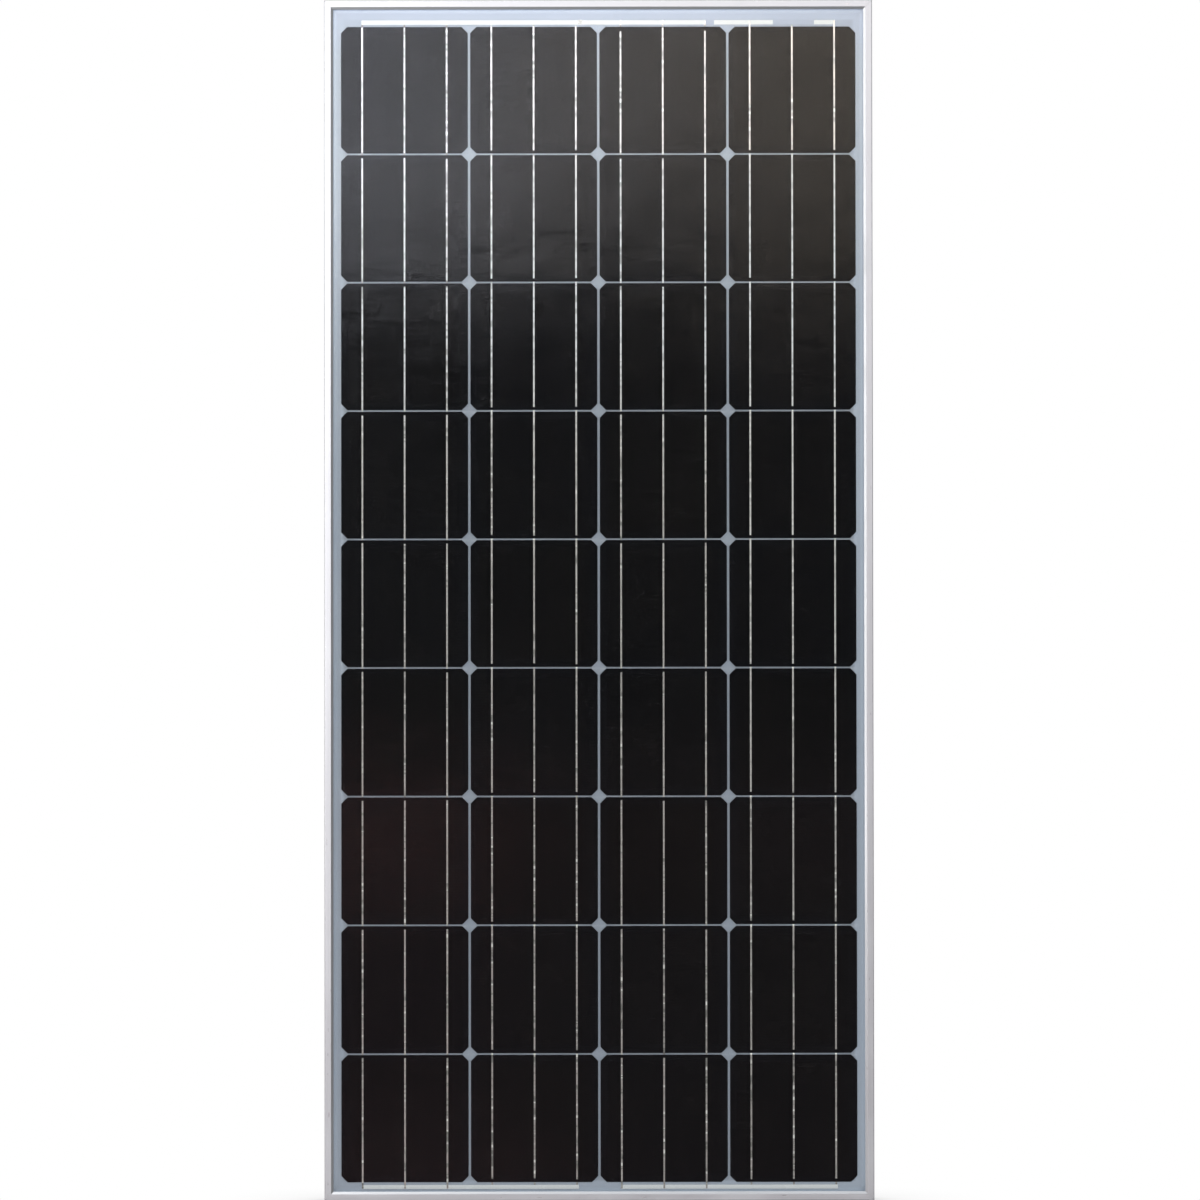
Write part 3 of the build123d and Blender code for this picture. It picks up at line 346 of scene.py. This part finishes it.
def ribbon_material():
    """Tinned copper ribbon under glass: solder waves that break its shine into dashes, with painted dark breaks,
    painted glints, and painted light that brightens the upper rows and the right-hand string.
    """
    mat, g, p, out = principled("tinned_ribbon")
    co = g.coords()
    x, y, z = g.xyz(co)
    lane = g.m("ROUND", g.m("MULTIPLY", x, 97.0))
    w = g.m("ADD", z, g.m("MULTIPLY", lane, 3.713))
    wave = g.noise(g.m("MULTIPLY", w, 62.0), 1.0, 1.5, 0.5, dims="1D")
    fine = g.noise(g.m("MULTIPLY", w, 420.0), 1.0, 2.0, 0.6, dims="1D")
    slow = g.noise(g.m("MULTIPLY", w, 21.0), 1.0, 2.0, 0.5, dims="1D")
    skin = g.noise(co, 900.0, 3.0, 0.6)
    cell = g.m("ROUND", g.m("DIVIDE", g.m("SUBTRACT", z, Z0), PZ))
    run = g.white(g.vec(lane, cell, 2.0))
    # painted shade: short dark breaks between the dashes
    painted_gap = g.map(g.m("ABSOLUTE", g.m("SUBTRACT", wave, 0.5)), 0.020, 0.065, 1.0, 0.0, True)
    painted_gap = g.m("MULTIPLY", painted_gap, g.map(g.m("ADD", slow, g.m("MULTIPLY", run, 0.25)), 0.40, 0.68, 0.18, 1.0))
    # painted light: the right-hand string and the upper rows get fewer dark breaks and less metal, so they read
    # brighter where the light falls
    lit_right_and_top = g.m("MULTIPLY", g.map(x, 0.157, 0.161, 0.12, 1.0), g.map(z, 0.25, 0.90))
    lit_right_and_top = g.m("ADD", lit_right_and_top, g.m("MULTIPLY", g.map(z, 0.86, 1.00), g.map(x, -0.161, -0.157, 0.25, 0.60)))
    lit_right_and_top = g.m("MINIMUM", lit_right_and_top, 1.0)
    painted_gap = g.m("MULTIPLY", painted_gap, g.m("SUBTRACT", 1.0, g.m("MULTIPLY", lit_right_and_top, 0.50)))
    base = g.mix(fine, (0.97, 0.925, 0.845), (1.0, 0.967, 0.900))
    # painted light: towards the top the tin is painted brighter and whiter, with fewer dark breaks, and made
    # flatter and at the very top shinier, where the light falls
    flat_lit_top = g.map(z, 1.15, 1.25, 0.0, 1.0, True)
    painted_gap = g.m("MULTIPLY", painted_gap, g.map(flat_lit_top, 0.0, 1.0, 1.0, 0.72))
    lit_top = g.map(z, 0.90, 1.10, 0.0, 1.0, True)
    base = g.mix(g.m("MULTIPLY", lit_top, 0.85), base, (1.0, 1.0, 1.0))
    base = g.mix(g.m("MULTIPLY", g.map(lit_top, 0.0, 1.0, 0.12, 0.04), run), base, (0.70, 0.66, 0.61))
    base = g.mix(g.m("MULTIPLY", painted_gap, 0.90), base, (0.15, 0.142, 0.13))
    h = g.m("ADD", wave, g.m("MULTIPLY", skin, 0.04))
    b = g.bump(h, 0.00018, g.map(flat_lit_top, 0.0, 1.0, 0.8, 0.30))
    r = g.m("ADD", g.map(slow, 0.3, 0.7, 0.12, 0.20), g.m("MULTIPLY", painted_gap, 0.25))
    r = g.m("SUBTRACT", r, g.m("MULTIPLY", flat_lit_top, 0.05))
    metal = g.m("ADD", g.map(lit_top, 0.0, 1.0, 0.62, 0.24), g.m("MULTIPLY", flat_lit_top, 0.46))
    metal = g.m("MULTIPLY", metal, g.m("SUBTRACT", 1.0, g.m("MULTIPLY", lit_right_and_top, g.map(z, 1.283, 1.288, 0.68, 0.10))))
    # painted glints: in short clustered specks the metal turns to white diffuse, so the ribbon seems to catch the
    # light at a solder bead
    painted_glint = g.map(g.noise(g.m("MULTIPLY", w, 150.0), 1.0, 0.0, 0.5, dims="1D"), 0.60, 0.70, 0.0, 1.0, True)
    painted_glint = g.m("MULTIPLY", painted_glint, g.map(g.m("ADD", slow, g.m("MULTIPLY", run, 0.30)), 0.52, 0.74, 0.0, 1.0))
    metal = g.m("MULTIPLY", metal, g.m("SUBTRACT", 1.0, g.m("MULTIPLY", painted_glint, 0.92)))
    grade(g, p, base, r, b, metal)
    glass_skin(g, p, co)
    return mat


def bus_material():
    mat, g, p, out = principled("tinned_bus")
    co = g.coords()
    n = g.noise(g.vm("MULTIPLY", co, (120, 120, 420)), 1.0, 4.0, 0.6)
    n2 = g.noise(co, 36.0, 2.0, 0.5)
    base = g.mix(n, (0.985, 0.98, 0.955), (1.0, 1.0, 0.985))
    base = g.mix(g.m("MULTIPLY", g.map(n2, 0.52, 0.7), 0.16), base, (0.93, 0.92, 0.89))
    b = g.bump(n, 0.00008, 0.6)
    grade(g, p, base, g.map(n2, 0.3, 0.7, 0.20, 0.30), b, 0.03)
    glass_skin(g, p, co)
    return mat


def film_material(name, front, rear, back=False):
    """White laminated film; from behind, the cells and ribbons print through it faintly; from the front its
    brightness is painted light.
    """
    mat, g, p, out = principled(name)
    co = g.coords()
    x, y, z = g.xyz(co)
    geo = g.node("ShaderNodeNewGeometry")
    fwd = g.m("LESS_THAN", g.xyz(geo.outputs["Normal"])[1], -0.5)
    cloud = g.noise(co, 7.0, 3.0, 0.5)
    weave = g.noise(co, 1500.0, 2.0, 0.6)
    ripple = g.noise(g.vm("MULTIPLY", co, (30, 30, 12)), 1.0, 3.0, 0.5)
    # painted light: the front of the film is painted lighter in the wide margins, towards the right and most of all
    # close under the lip, and between the cells darkest a little above the middle and lightest at the top, standing
    # in for light trapped in the glass
    away = g.m("SUBTRACT", hi0.x - 0.011, g.m("ABSOLUTE", x))
    away = g.m("MINIMUM", away, g.m("SUBTRACT", hi0.z - 0.011, z))
    away = g.m("MINIMUM", away, g.m("SUBTRACT", z, lo0.z + 0.011))
    between = g.m("MULTIPLY", g.map(z, 0.97, 1.29, 0.77, 0.955), g.map(z, 0.30, 0.90, 1.09, 1.0))
    margin = g.m("MULTIPLY", g.map(x, -0.33, 0.33, 0.965, 1.075), 1.07)
    painted_lift = g.mix(g.map(away, 0.011, 0.014), margin, between)
    painted_lift = g.m("ADD", painted_lift, g.map(away, 0.0, 0.0065, 0.36, 0.0, True))
    # painted light: near the top the front colour is painted lighter and bluer
    front = g.vm("SCALE", g.mix(g.map(z, 1.40, 1.455), front, tuple(min(1.0, c * k) for c, k in zip(front, (1.05, 1.05, 1.12)))), scale=painted_lift)
    col = g.mix(fwd, rear, front)
    base = g.mix(g.m("MULTIPLY", cloud, 0.10), col, tuple(c * 0.80 for c in rear))
    h = g.m("ADD", g.m("MULTIPLY", weave, 0.012), g.m("MULTIPLY", ripple, 0.10))
    if back:
        ix = g.m("ROUND", g.m("DIVIDE", g.m("SUBTRACT", x, X0), PX))
        ix = g.m("MINIMUM", g.m("MAXIMUM", ix, 0.0), 3.0)
        iz = g.m("ROUND", g.m("DIVIDE", g.m("SUBTRACT", z, Z0), PZ))
        iz = g.m("MINIMUM", g.m("MAXIMUM", iz, -8.0), 0.0)
        rx = g.m("SUBTRACT", x, g.m("ADD", X0, g.m("MULTIPLY", ix, PX)))
        rz = g.m("SUBTRACT", z, g.m("ADD", Z0, g.m("MULTIPLY", iz, PZ)))
        d = g.m("MAXIMUM", g.m("ABSOLUTE", rx), g.m("ABSOLUTE", rz))
        cellh = g.map(d, 0.0762, 0.0790, 1.0, 0.0, True)
        rib = g.map(g.saw(rx, 0.052), 0.0006, 0.0026, 1.0, 0.0, True)
        rib = g.m("MULTIPLY", rib, cellh)
        h = g.m("ADD", h, g.m("ADD", g.m("MULTIPLY", cellh, 0.55), g.m("MULTIPLY", rib, 0.42)))
        rearward = g.m("SUBTRACT", 1.0, fwd)
        base = g.mix(g.m("MULTIPLY", g.m("MULTIPLY", cellh, 0.10), rearward), base, tuple(c * 0.86 for c in rear))
        base = g.mix(g.m("MULTIPLY", g.m("MULTIPLY", rib, 0.10), rearward), base, tuple(c * 0.84 for c in rear))
    b = g.bump(h, 0.00035, 0.8 if back else 0.3)
    grade(g, p, base, g.map(cloud, 0.3, 0.7, 0.42, 0.52), b, 0.0)
    g.put(p.inputs["Specular IOR Level"], g.m("ADD", 0.35, g.m("MULTIPLY", fwd, 0.65)))
    g.put(p.inputs["Roughness"], g.m("SUBTRACT", g.map(cloud, 0.3, 0.7, 0.42, 0.52), g.m("MULTIPLY", fwd, 0.27)))
    glass_skin(g, p, co, fwd)
    return mat


def plastic(name, col, rough, grain=1.0, spec=0.5):
    """Moulded plastic with a spark-eroded skin, slightly polished where it is handled."""
    mat, g, p, out = principled(name)
    co = g.coords()
    vo = g.voronoi(co, 2400.0, "F1")
    n = g.noise(co, 1400.0, 3.0, 0.6)
    flow = g.noise(g.vm("MULTIPLY", co, (40, 90, 25)), 1.0, 3.0, 0.5)
    dust = g.noise(co, 28.0, 5.0, 0.65)
    lightc = tuple(min(1.0, c * 1.7 + 0.006) for c in col)
    base = g.mix(g.m("MULTIPLY", g.map(flow, 0.35, 0.7), 0.5), col, lightc)
    base = g.mix(g.m("MULTIPLY", g.map(dust, 0.58, 0.8), 0.10), base, (0.30, 0.29, 0.27))
    h = g.m("ADD", g.m("MULTIPLY", vo.outputs["Distance"], 0.6), g.m("MULTIPLY", n, 0.6))
    b = g.bump(h, 0.00004 * grain, 0.6)
    grade(g, p, base, g.map(flow, 0.25, 0.75, rough - 0.06, rough + 0.08), b, 0.0)
    g.put(p.inputs["Specular IOR Level"], spec)
    return mat


def metal(name, c1, c2, rough, scale=300.0, metallic=1.0):
    mat, g, p, out = principled(name)
    co = g.coords()
    n = g.noise(g.vm("MULTIPLY", co, (scale, scale, scale * 0.25)), 1.0, 3.0, 0.6)
    n2 = g.noise(co, 45.0, 3.0, 0.5)
    base = g.mix(n, c1, c2)
    base = g.mix(g.m("MULTIPLY", g.map(n2, 0.5, 0.75), 0.2), base, tuple(c * 0.8 for c in c1))
    b = g.bump(n, 0.00003, 0.5)
    grade(g, p, base, g.map(n2, 0.3, 0.7, rough - 0.06, rough + 0.08), b, metallic)
    return mat


def rubber(name, col):
    mat, g, p, out = principled(name)
    co = g.coords()
    n = g.noise(co, 1100.0, 3.0, 0.6)
    n2 = g.noise(co, 60.0, 2.0, 0.5)
    base = g.mix(n2, col, tuple(min(1, c * 1.25 + 0.004) for c in col))
    b = g.bump(n, 0.00004, 0.6)
    grade(g, p, base, g.map(n, 0.3, 0.7, 0.58, 0.72), b, 0.0)
    g.put(p.inputs["Specular IOR Level"], 0.3)
    return mat


def silicone_material():
    mat, g, p, out = principled("silicone_bead")
    co = g.coords()
    n = g.noise(co, 130.0, 4.0, 0.6)
    n2 = g.noise(co, 16.0, 3.0, 0.5)
    base = g.mix(n2, (0.74, 0.75, 0.75), (0.84, 0.845, 0.84))
    b = g.bump(g.m("ADD", n, g.m("MULTIPLY", n2, 2.0)), 0.0005, 0.7)
    grade(g, p, base, g.map(n, 0.3, 0.7, 0.26, 0.40), b, 0.0)
    return mat


def label_material():
    """Silver-white film label, blank, with a thin printed border."""
    mat, g, p, out = principled("blank_label")
    co = g.coords()
    x, y, z = g.xyz(co)
    a, b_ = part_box("rating_label")
    cx, cz = (a.x + b_.x) / 2, (a.z + b_.z) / 2
    hx, hz = (b_.x - a.x) / 2, (b_.z - a.z) / 2
    dx = g.m("SUBTRACT", hx, g.m("ABSOLUTE", g.m("SUBTRACT", x, cx)))
    dz = g.m("SUBTRACT", hz, g.m("ABSOLUTE", g.m("SUBTRACT", z, cz)))
    d = g.m("MINIMUM", dx, dz)
    border = g.m("MULTIPLY", g.map(d, 0.0030, 0.0032), g.map(d, 0.0040, 0.0038))
    n = g.noise(co, 1800.0, 2.0, 0.5)
    n2 = g.noise(co, 20.0, 3.0, 0.5)
    base = g.mix(n2, (0.80, 0.81, 0.82), (0.86, 0.865, 0.87))
    base = g.mix(g.m("MULTIPLY", border, 0.8), base, (0.10, 0.10, 0.11))
    bp = g.bump(g.m("ADD", n, g.m("MULTIPLY", n2, 3.0)), 0.00005, 0.6)
    grade(g, p, base, 0.34, bp, 0.25)
    return mat


def diode_material():
    mat, g, p, out = principled("diode")
    co = g.coords()
    x, y, z = g.xyz(co)
    xa = g.m("ABSOLUTE", g.m("SUBTRACT", g.m("ABSOLUTE", x), 0.012))
    body = g.m("LESS_THAN", xa, 0.00472)
    band = g.m("MULTIPLY", g.m("GREATER_THAN", g.m("SUBTRACT", g.m("ABSOLUTE", x), 0.012), 0.0024), body)
    band = g.m("MULTIPLY", band, g.m("LESS_THAN", g.m("SUBTRACT", g.m("ABSOLUTE", x), 0.012), 0.0038))
    n = g.noise(co, 1300.0, 3.0, 0.6)
    c = g.mix(body, (0.72, 0.72, 0.70), (0.018, 0.018, 0.019))
    c = g.mix(band, c, (0.70, 0.70, 0.69))
    bp = g.bump(n, 0.00003, 0.5)
    grade(g, p, c, g.map(n, 0.3, 0.7, 0.35, 0.45), bp, g.m("SUBTRACT", 1.0, body))
    return mat


def sheath_material():
    """Cross-linked cable sheath: satin black with a slight extrusion wave and scuffs."""
    mat, g, p, out = principled("cable_sheath")
    co = g.coords()
    n = g.noise(g.vm("MULTIPLY", co, (900, 900, 60)), 1.0, 3.0, 0.6)
    dust = g.noise(co, 33.0, 5.0, 0.65)
    base = g.mix(n, (0.011, 0.011, 0.012), (0.019, 0.019, 0.020))
    base = g.mix(g.m("MULTIPLY", g.map(dust, 0.57, 0.78), 0.12), base, (0.30, 0.29, 0.27))
    b = g.bump(n, 0.00005, 0.6)
    grade(g, p, base, g.map(dust, 0.3, 0.7, 0.34, 0.50), b, 0.0)
    return mat


M = {
    "glass": glass_material(),
    "film": clear_film("encapsulant_clear"),
    "cell": cell_material(),
    "ribbon": ribbon_material(),
    "bus": bus_material(),
    "sheet": film_material("backsheet_film", (0.500, 0.550, 0.635), (0.70, 0.715, 0.735), True),
    "insul": film_material("insulation_film", (0.515, 0.565, 0.650), (0.70, 0.715, 0.735)),
    "box": plastic("black_moulding", (0.012, 0.012, 0.013), 0.46),
    "conn": plastic("connector_moulding", (0.014, 0.014, 0.015), 0.38, 0.7),
    "seal": rubber("seal_rubber", (0.022, 0.022, 0.023)),
    "silicone": silicone_material(),
    "steel": metal("zinc_steel", (0.62, 0.62, 0.60), (0.78, 0.78, 0.77), 0.28),
    "mill": metal("mill_aluminium", (0.66, 0.67, 0.68), (0.80, 0.80, 0.81), 0.40, 500.0),
    "tin": metal("tinned_copper", (0.74, 0.73, 0.69), (0.86, 0.855, 0.83), 0.30),
    "copper": metal("bare_copper", (0.78, 0.42, 0.26), (0.90, 0.55, 0.38), 0.30, 700.0),
    "label": label_material(),
    "diode": diode_material(),
    "sheath": sheath_material(),
}

use = {}
for n in nodes:
    if n in ("frame_rail_left", "frame_rail_right"):
        use[n] = frame_v
    elif n in ("frame_rail_top", "frame_rail_bottom"):
        use[n] = frame_h
    elif n.startswith("cell_string"):
        use[n] = M["cell"]
    elif n.startswith("ribbon_string"):
        use[n] = M["ribbon"]
    elif n.startswith("bus_top") or n.startswith("bus_bottom"):
        use[n] = M["bus"]
use.update({
    "corner_keys": M["mill"], "frame_sealant": M["silicone"], "front_glass": M["glass"],
    "front_encapsulant": M["film"], "rear_encapsulant": M["film"], "backsheet": M["sheet"],
    "bus_insulation_strips": M["insul"], "edge_label_strip": M["insul"], "lead_ribbons": M["tin"],
    "lead_insulation_film": M["insul"],
    "rating_label": M["label"], "jbox_adhesive_pad": M["silicone"], "jbox_base": M["box"], "jbox_lid": M["box"],
    "jbox_lid_seal": M["seal"], "jbox_hinge_pin": M["steel"], "jbox_terminal_left": M["tin"],
    "jbox_terminal_middle": M["tin"], "jbox_terminal_right": M["tin"], "jbox_terminal_screws": M["steel"],
    "jbox_ribbon_clips": M["steel"], "bypass_diode_left": M["diode"], "bypass_diode_right": M["diode"],
    "gland_nut_left": M["conn"], "gland_nut_right": M["conn"], "gland_ring_left": M["conn"],
    "gland_ring_right": M["conn"], "gland_seals": M["seal"], "cable_left": M["sheath"], "cable_right": M["sheath"],
    "conductor_left": M["copper"], "conductor_right": M["copper"], "plug_housing": M["conn"],
    "plug_contact": M["tin"], "plug_ring": M["conn"], "plug_nut": M["conn"], "socket_housing": M["conn"],
    "socket_contact": M["tin"], "socket_ring": M["conn"], "socket_nut": M["conn"],
    "connector_cable_seals": M["seal"], "socket_o_ring": M["seal"],
})
for n, o in nodes.items():
    o.data.materials.clear()
    o.data.materials.append(use[n])

for n in ("front_glass", "front_encapsulant", "rear_encapsulant"):
    nodes[n].visible_shadow = False
    nodes[n].visible_diffuse = False

# ---------------------------------------------------------------------------
# stage: white floor, white surround, soft light
# ---------------------------------------------------------------------------
mesh = bpy.data.meshes.new("floor")
S = 40.0
mesh.from_pydata([(-S, -S, -0.0008), (S, -S, -0.0008), (S, S, -0.0008), (-S, S, -0.0008)], [], [(0, 1, 2, 3)])
floor = bpy.data.objects.new("floor", mesh)
scene.collection.objects.link(floor)
fm = bpy.data.materials.new("floor_pale")
fm.use_nodes = True
g = G(fm.node_tree)
fm.node_tree.nodes.clear()
out = g.node("ShaderNodeOutputMaterial")
lp = g.node("ShaderNodeLightPath")
# painted shadow: to the camera the floor glows white, darkened by ambient occlusion into a soft contact shadow near
# the panel
ao = g.node("ShaderNodeAmbientOcclusion", samples=8)
g.put(ao.inputs["Distance"], 0.14)
shade = g.map(ao.outputs["AO"], 0.35, 1.0, 0.70, 1.0)
seen = g.mix(shade, (0.0, 0.0, 0.0), (1.0, 1.0, 1.0))
em = g.node("ShaderNodeEmission")
inc = g.xyz(g.node("ShaderNodeNewGeometry").outputs["Incoming"])
rx, rz = g.m("MULTIPLY", inc[0], -1.0), g.m("MULTIPLY", inc[2], -1.0)
# what the lower half of the glass mirrors: a dark room with two dull reddish patches
p1 = g.map(g.m("ABSOLUTE", g.m("ADD", rz, 0.035)), 0.0, 0.016, 1.0, 0.0, True)
p1 = g.m("MULTIPLY", p1, g.map(rx, -0.040, -0.006, 1.0, 0.12, True))
p2 = g.m("MULTIPLY", g.map(rz, -0.080, -0.105, 0.0, 1.0, True), g.map(rx, -0.035, 0.010, 1.0, 0.15, True))
mirror = g.mix(g.map(rx, -0.045, 0.0, 0.0, 1.0, True), (0.130, 0.072, 0.080), (0.085, 0.064, 0.068))
mirror = g.mix(p1, mirror, (0.430, 0.175, 0.168))
mirror = g.mix(p2, mirror, (0.260, 0.135, 0.148))
mirror = g.mix(g.map(g.m("ABSOLUTE", rz), 0.14, 0.26, 0.0, 1.0, True), mirror, (0.52, 0.52, 0.53))
mirror = g.mix(g.map(g.m("ABSOLUTE", rz), 0.45, 0.85, 0.0, 1.0, True), mirror, (0.05, 0.05, 0.053))
other = g.mix(lp.outputs["Is Glossy Ray"], (0.60, 0.61, 0.63), mirror)
g.put(em.inputs["Color"], g.mix(lp.outputs["Is Camera Ray"], other, seen))
g.put(em.inputs["Strength"], 1.0)
g.t.links.new(em.outputs[0], out.inputs[0])
floor.data.materials.append(fm)

world = bpy.data.worlds.new("surround")
scene.world = world
world.use_nodes = True
world.cycles.sampling_method = "NONE"
wt = world.node_tree
wt.nodes.clear()
g = G(wt)
wout = g.node("ShaderNodeOutputWorld")
bg = g.node("ShaderNodeBackground")
d = g.node("ShaderNodeTexCoord").outputs["Generated"]
dx, dy, dz = g.xyz(d)
lp = g.node("ShaderNodeLightPath")
# what the glass mirrors: a bright wall above a dark room; the edge is sharper and lower on the left
cen = g.m("SUBTRACT", g.map(dx, -0.032, 0.020, 0.0822, 0.0985, True), g.map(dx, 0.012, 0.036, 0.0, 0.0045, True))
wid = g.map(dx, -0.030, 0.037, 0.0130, 0.0430, True)
t = g.map(g.m("DIVIDE", g.m("SUBTRACT", dz, cen), wid), -1.0, 1.0, 0.0, 1.0, True)
bright = g.mix(g.map(dx, -0.045, 0.038), (2.38, 2.29, 2.60), (1.86, 1.53, 1.32))
front = g.mix(t, (0.028, 0.025, 0.027), bright)
# everything else that metal and plastic mirror: a soft room, brighter above and on the left
up = g.map(dz, -0.15, 0.65, 0.0, 1.0, True)
around = g.ramp(g.map(dz, -0.2, 1.0), [
    (0.00, (0.50, 0.50, 0.51)), (0.17, (0.62, 0.62, 0.64)), (0.32, (1.45, 1.47, 1.52)),
    (0.55, (1.55, 1.57, 1.62)), (0.80, (0.78, 0.80, 0.83)), (1.00, (0.50, 0.515, 0.54))], "EASE")
around = g.vm("SCALE", around, scale=g.map(dy, -0.82, -0.45, 1.0, 0.46, True))
left = g.m("MULTIPLY", g.map(dx, -0.15, -0.80, 0.0, 1.0, True), g.map(dy, 0.25, -0.05, 0.0, 1.0, True))
right = g.m("MULTIPLY", g.map(dx, 0.15, 0.80, 0.0, 1.0, True), g.map(dy, 0.25, -0.05, 0.0, 1.0, True))
lvl = g.map(dz, -0.12, 0.12, 0.42, 1.0, True)
around = g.mix(g.m("MULTIPLY", left, 0.85), around, g.vm("SCALE", (0.74, 0.75, 0.77), scale=lvl))
around = g.mix(g.m("MULTIPLY", right, 0.85), around, (0.07, 0.07, 0.075))
wide = g.m("MAXIMUM", g.map(g.m("ABSOLUTE", dx), 0.09, 0.22, 0.0, 1.0, True),
           g.map(g.m("ABSOLUTE", dz), 0.17, 0.30, 0.0, 1.0, True))
wide = g.m("MAXIMUM", wide, g.m("GREATER_THAN", dy, -0.5))
glossy = g.mix(wide, front, around)
diffuse = g.mix(up, (0.490, 0.515, 0.540), (0.725, 0.762, 0.800))
behind = g.mix(up, (0.300, 0.305, 0.315), (0.560, 0.575, 0.600))
diffuse = g.mix(g.map(dy, -0.05, 0.30, 0.0, 1.0, True), diffuse, behind)
col = g.mix(lp.outputs["Is Glossy Ray"], diffuse, glossy)
col = g.mix(lp.outputs["Is Camera Ray"], col, (1.0, 1.0, 1.0))
g.put(bg.inputs["Color"], col)
g.t.links.new(bg.outputs[0], wout.inputs[0])


def area(name, loc, aim, sx, sy, power, col=(1, 1, 1), glossy=True):
    l = bpy.data.lights.new(name, "AREA")
    l.shape = "RECTANGLE"
    l.size, l.size_y, l.energy, l.color = sx, sy, power, col
    o = bpy.data.objects.new(name, l)
    scene.collection.objects.link(o)
    o.location = loc
    o.rotation_euler = (Vector(aim) - Vector(loc)).to_track_quat("-Z", "Y").to_euler()
    o.visible_camera = False
    o.visible_glossy = glossy
    return o


def spot(name, loc, aim, deg, power, col=(1, 1, 1), radius=0.25, glossy=False):
    l = bpy.data.lights.new(name, "SPOT")
    l.energy, l.color, l.spot_size, l.spot_blend, l.shadow_soft_size = power, col, math.radians(deg), 1.0, radius
    o = bpy.data.objects.new(name, l)
    scene.collection.objects.link(o)
    o.location = loc
    o.rotation_euler = (Vector(aim) - Vector(loc)).to_track_quat("-Z", "Y").to_euler()
    o.visible_camera = False
    o.visible_glossy = glossy
    return o


spot("upper_left", (-0.5, -3.2, 1.50), (-0.15, 0, 1.66), 24, 175.0, (1.0, 0.985, 0.955))
spot("upper_right", (0.9, -3.4, 1.45), (0.30, 0, 1.35), 34, 55.0, (1.0, 0.985, 0.955))
card = area("edge_card", (-0.88, -1.45, 1.20), (-0.33, 0, 1.0), 0.45, 1.9, 11.0)
card.visible_diffuse = False
area("back_key", (1.5, 2.0, 2.7), (0, 0, 0.9), 1.0, 0.8, 62.0, (1.0, 0.99, 0.975))
area("back_fill", (-2.4, 1.6, 0.9), (0, 0, 0.7), 1.2, 1.6, 9.0, (0.97, 0.985, 1.0))

# ---------------------------------------------------------------------------
# camera: square on to the glass, a long way off
# ---------------------------------------------------------------------------
cam_data = bpy.data.cameras.new("camera")
cam = bpy.data.objects.new("camera", cam_data)
scene.collection.objects.link(cam)
centre = Vector(((lo0.x + hi0.x) / 2 + 0.0015, lo0.y, (lo0.z + hi0.z) / 2 - 0.0009))
DIST, TILT, ROLL = 6.0, math.radians(0.84), -0.07
cam.location = centre + Vector((0, -DIST * math.cos(TILT), -DIST * math.sin(TILT)))
cam.rotation_euler = (centre - cam.location).to_track_quat("-Z", "Y").to_euler()
cam.rotation_euler.rotate_axis("Z", math.radians(ROLL))
cam_data.sensor_fit = "VERTICAL"
cam_data.sensor_height = 36.0
cam_data.sensor_width = 36.0
VIEW_H = (hi0.z - lo0.z) * 1200.0 / 1200.5
cam_data.lens = 36.0 * DIST / VIEW_H
cam_data.clip_end = 100.0
scene.camera = cam
